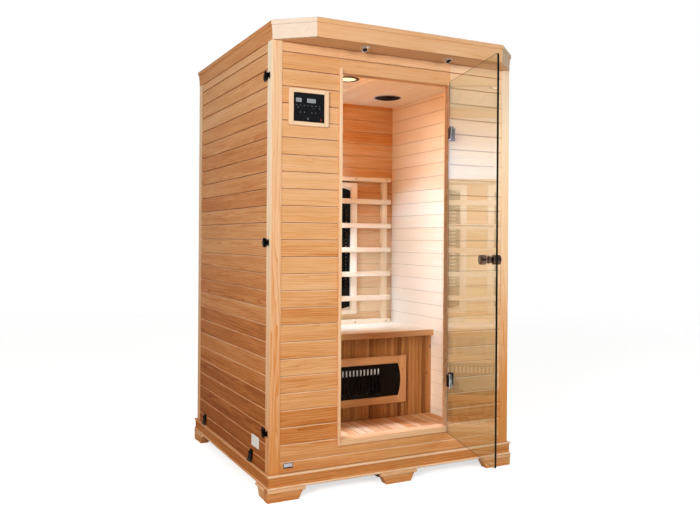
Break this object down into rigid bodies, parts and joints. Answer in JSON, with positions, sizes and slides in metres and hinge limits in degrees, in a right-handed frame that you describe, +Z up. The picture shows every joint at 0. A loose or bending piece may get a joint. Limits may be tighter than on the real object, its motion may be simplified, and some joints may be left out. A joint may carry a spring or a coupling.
{
  "type": "infrared sauna cabin",
  "caption": "Boarded wooden infrared sauna cabin on bracket feet, with a hinged glass door, bench, slatted backrest, black heater panels, control panel, canopy and draw clasps.",
  "frame": {"origin": "on the ground under the middle of the wall box, in the underside of the floor's middle runner", "axes": "+Z up, +X to the right as seen from the front, and the front with its door faces -Y"},
  "size_m": [1.2, 1.5987, 1.9],
  "materials": {
    "boards": "clear satin softwood boards, honey coloured",
    "trim": "clear satin softwood trim, paler than the boards",
    "bench_wood": "planed unvarnished softwood",
    "glass": "clear toughened glass with polished green edges",
    "black_steel": "satin black paint on pressed steel",
    "chrome": "dark polished chrome",
    "plastic": "fine textured black plastic",
    "key": "dark grey key caps",
    "lamp": "warm white diffuser with a metal ring"
  },
  "bodies": {
    "cabin": {"plinth_front": "boards", "plinth_left": "boards", "plinth_rear": "boards", "plinth_right": "boards", "foot_front_left": "boards", "foot_front_centre": "boards", "foot_front_right": "boards", "foot_rear_left": "boards", "foot_rear_right": "boards", "floor_deck": "boards", "wall_left": "boards", "wall_right": "boards", "wall_rear": "boards", "front_panel_left": "boards", "front_panel_right": "boards", "front_header": "boards", "front_apron": "boards", "jamb_left": "trim", "jamb_right": "trim", "door_sill": "trim", "roof_panel": "boards", "canopy_fascia": "trim", "fascia_left": "boards", "fascia_rear": "boards", "fascia_right": "boards", "power_box": "plastic", "soffit_light_left": "lamp", "soffit_light_right": "lamp", "ceiling_light": "lamp", "speaker_left": "plastic", "speaker_right": "plastic", "heater_back_left": "black_steel", "heater_back_right": "black_steel", "heater_bench": "black_steel", "heater_bench_frame": "trim", "backrest": "bench_wood", "bench_top": "bench_wood", "bench_front": "boards", "control_frame": "trim", "control_panel": "plastic", "hinge_upper_leaf": "chrome", "hinge_lower_leaf": "chrome"},
    "door": {"door_glass": "glass", "door_knob": "chrome", "hinge_upper_clamp": "chrome", "hinge_lower_clamp": "chrome"},
    "power_key": {"key_power": "key"},
    "light_key": {"key_light": "key"},
    "minus_key": {"key_minus": "key"},
    "plus_key": {"key_plus": "key"},
    "lever_left_top": {"clasp_left_top": "black_steel"},
    "lever_left_middle": {"clasp_left_middle": "black_steel"},
    "lever_left_low": {"clasp_left_low": "black_steel"},
    "lever_left_base_front": {"clasp_left_base_front": "black_steel"},
    "lever_left_base_rear": {"clasp_left_base_rear": "black_steel"},
    "lever_right_top": {"clasp_right_top": "black_steel"},
    "lever_right_middle": {"clasp_right_middle": "black_steel"},
    "lever_right_low": {"clasp_right_low": "black_steel"},
    "lever_right_base_front": {"clasp_right_base_front": "black_steel"},
    "lever_right_base_rear": {"clasp_right_base_rear": "black_steel"}
  },
  "joints": [
    {"name": "door_swing", "type": "hinge", "parent": "cabin", "child": "door", "pos_m": [0.244, -0.538, 0], "axis": [0, 0, 1], "range_deg": [-75, 30]},
    {"name": "power_key_press", "type": "slide", "parent": "cabin", "child": "power_key", "axis": [0, 1, 0], "range_m": [0, 0.001], "stiffness_N_per_m": 400},
    {"name": "light_key_press", "type": "slide", "parent": "cabin", "child": "light_key", "axis": [0, 1, 0], "range_m": [0, 0.001], "stiffness_N_per_m": 400},
    {"name": "minus_key_press", "type": "slide", "parent": "cabin", "child": "minus_key", "axis": [0, 1, 0], "range_m": [0, 0.001], "stiffness_N_per_m": 400},
    {"name": "plus_key_press", "type": "slide", "parent": "cabin", "child": "plus_key", "axis": [0, 1, 0], "range_m": [0, 0.001], "stiffness_N_per_m": 400},
    {"name": "lever_left_top_swing", "type": "hinge", "parent": "cabin", "child": "lever_left_top", "pos_m": [-0.59, -0.456, 1.688], "axis": [0, 0, -1], "range_deg": [0, 110]},
    {"name": "lever_left_middle_swing", "type": "hinge", "parent": "cabin", "child": "lever_left_middle", "pos_m": [-0.59, -0.456, 1.024], "axis": [0, 0, -1], "range_deg": [0, 110]},
    {"name": "lever_left_low_swing", "type": "hinge", "parent": "cabin", "child": "lever_left_low", "pos_m": [-0.59, -0.456, 0.265], "axis": [0, 0, -1], "range_deg": [0, 110]},
    {"name": "lever_left_base_front_swing", "type": "hinge", "parent": "cabin", "child": "lever_left_base_front", "pos_m": [-0.59, -0.312, 0.143], "axis": [0, 1, 0], "range_deg": [0, 110]},
    {"name": "lever_left_base_rear_swing", "type": "hinge", "parent": "cabin", "child": "lever_left_base_rear", "pos_m": [-0.59, 0.375, 0.143], "axis": [0, 1, 0], "range_deg": [0, 110]},
    {"name": "lever_right_top_swing", "type": "hinge", "parent": "cabin", "child": "lever_right_top", "pos_m": [0.59, -0.456, 1.688], "axis": [0, 0, 1], "range_deg": [0, 110]},
    {"name": "lever_right_middle_swing", "type": "hinge", "parent": "cabin", "child": "lever_right_middle", "pos_m": [0.59, -0.456, 1.024], "axis": [0, 0, 1], "range_deg": [0, 110]},
    {"name": "lever_right_low_swing", "type": "hinge", "parent": "cabin", "child": "lever_right_low", "pos_m": [0.59, -0.456, 0.265], "axis": [0, 0, 1], "range_deg": [0, 110]},
    {"name": "lever_right_base_front_swing", "type": "hinge", "parent": "cabin", "child": "lever_right_base_front", "pos_m": [0.59, -0.312, 0.143], "axis": [0, -1, 0], "range_deg": [0, 110]},
    {"name": "lever_right_base_rear_swing", "type": "hinge", "parent": "cabin", "child": "lever_right_base_rear", "pos_m": [0.59, 0.375, 0.143], "axis": [0, -1, 0], "range_deg": [0, 110]}
  ]
}
